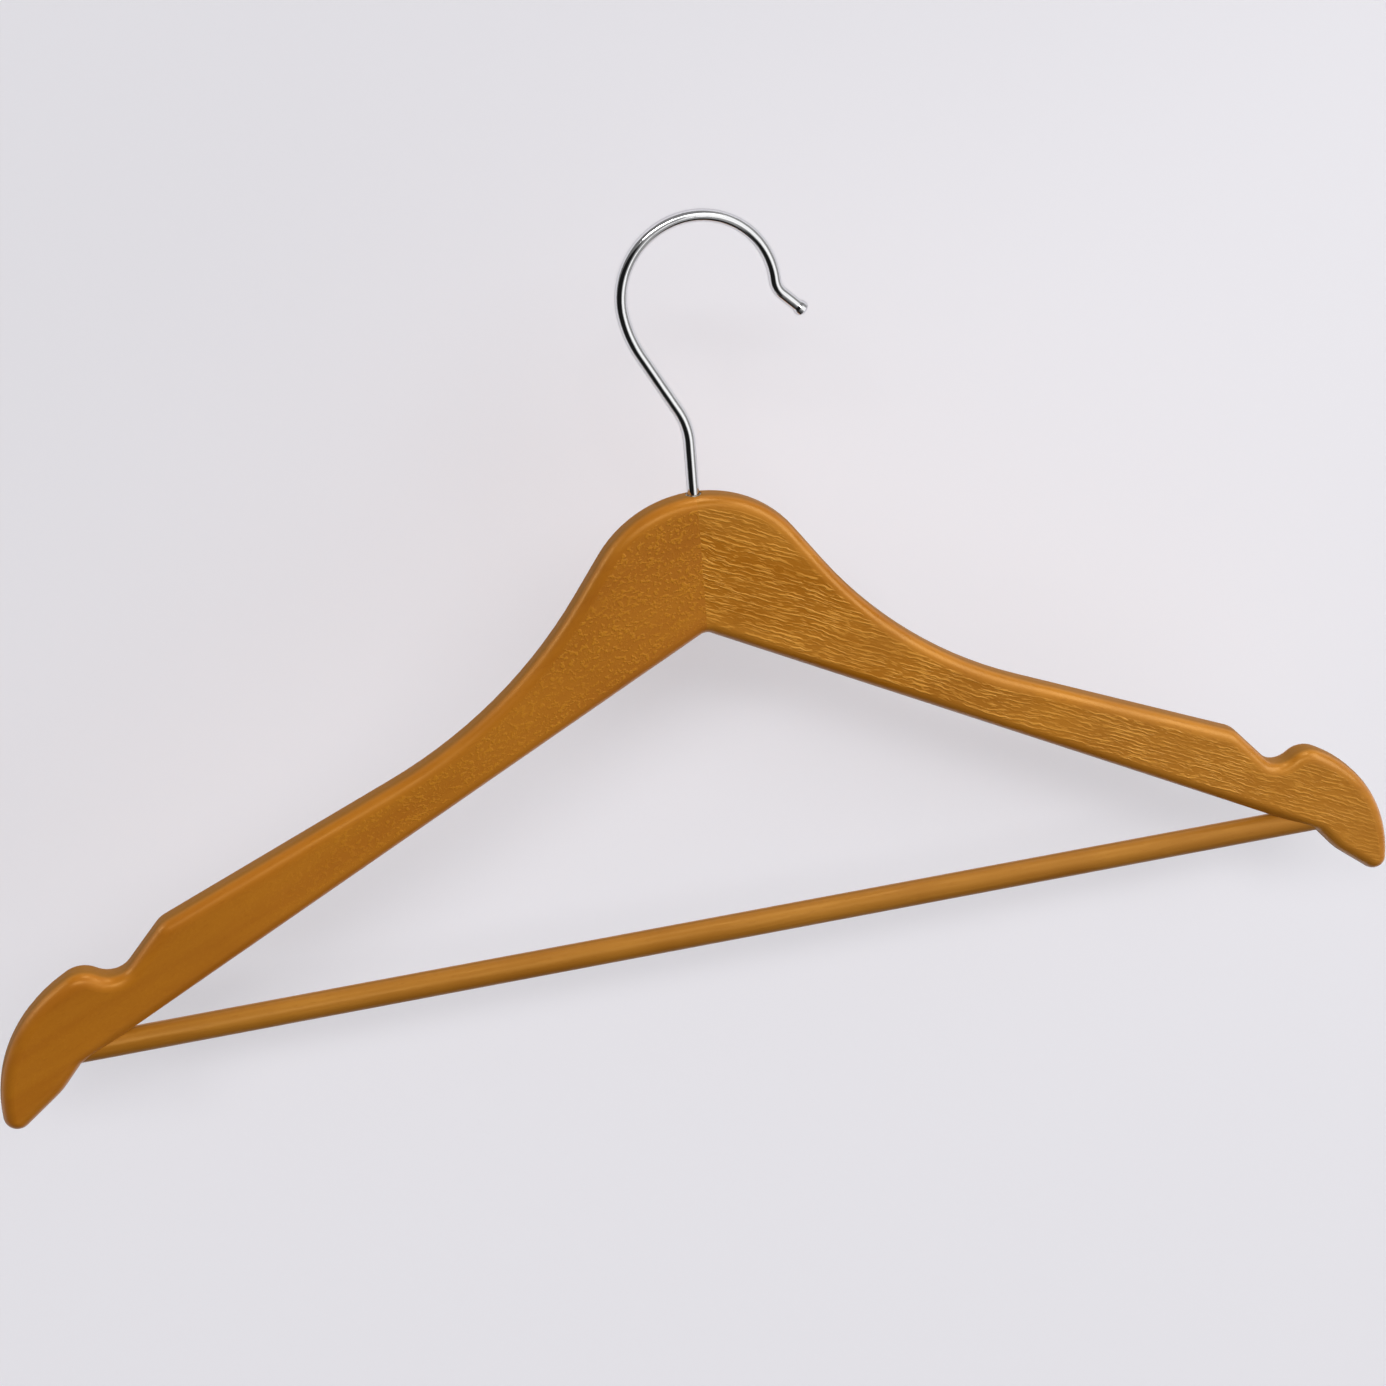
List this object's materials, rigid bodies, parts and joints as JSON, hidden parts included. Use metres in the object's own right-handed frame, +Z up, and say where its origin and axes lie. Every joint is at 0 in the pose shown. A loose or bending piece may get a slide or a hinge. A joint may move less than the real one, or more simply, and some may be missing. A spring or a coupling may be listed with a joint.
{
  "type": "clothes hanger",
  "caption": "Wooden clothes hanger with contoured notched arms, a round trouser bar between them and a chrome wire hook that swivels in the neck.",
  "frame": {"origin": "on the hook's swivel axis, at the inside of the hook's bow, where a rail carries the hanger", "axes": "+Z up along the hook's shank as the hanger hangs, +X along the hanger's width towards the hook's open side, -Y towards the front"},
  "size_m": [0.445, 0.01, 0.246],
  "materials": {
    "left_arm_wood": "amber satin lacquer",
    "right_arm_wood": "amber satin lacquer",
    "bar_wood": "amber satin lacquer",
    "brad_steel": "bare drawn wire",
    "sleeve_steel": "zinc plated",
    "hook_chrome": "polished chrome"
  },
  "bodies": {
    "frame": {"left_arm": "left_arm_wood", "right_arm": "right_arm_wood", "trouser_bar": "bar_wood", "left_bar_brad": "brad_steel", "right_bar_brad": "brad_steel", "hook_sleeve": "sleeve_steel"},
    "hook": {"hook_wire": "hook_chrome"}
  },
  "joints": [
    {"name": "hook_swivel", "type": "hinge", "parent": "frame", "child": "hook", "pos_m": [0, 0, -0.085], "axis": [0, 0, -1], "continuous": true}
  ]
}
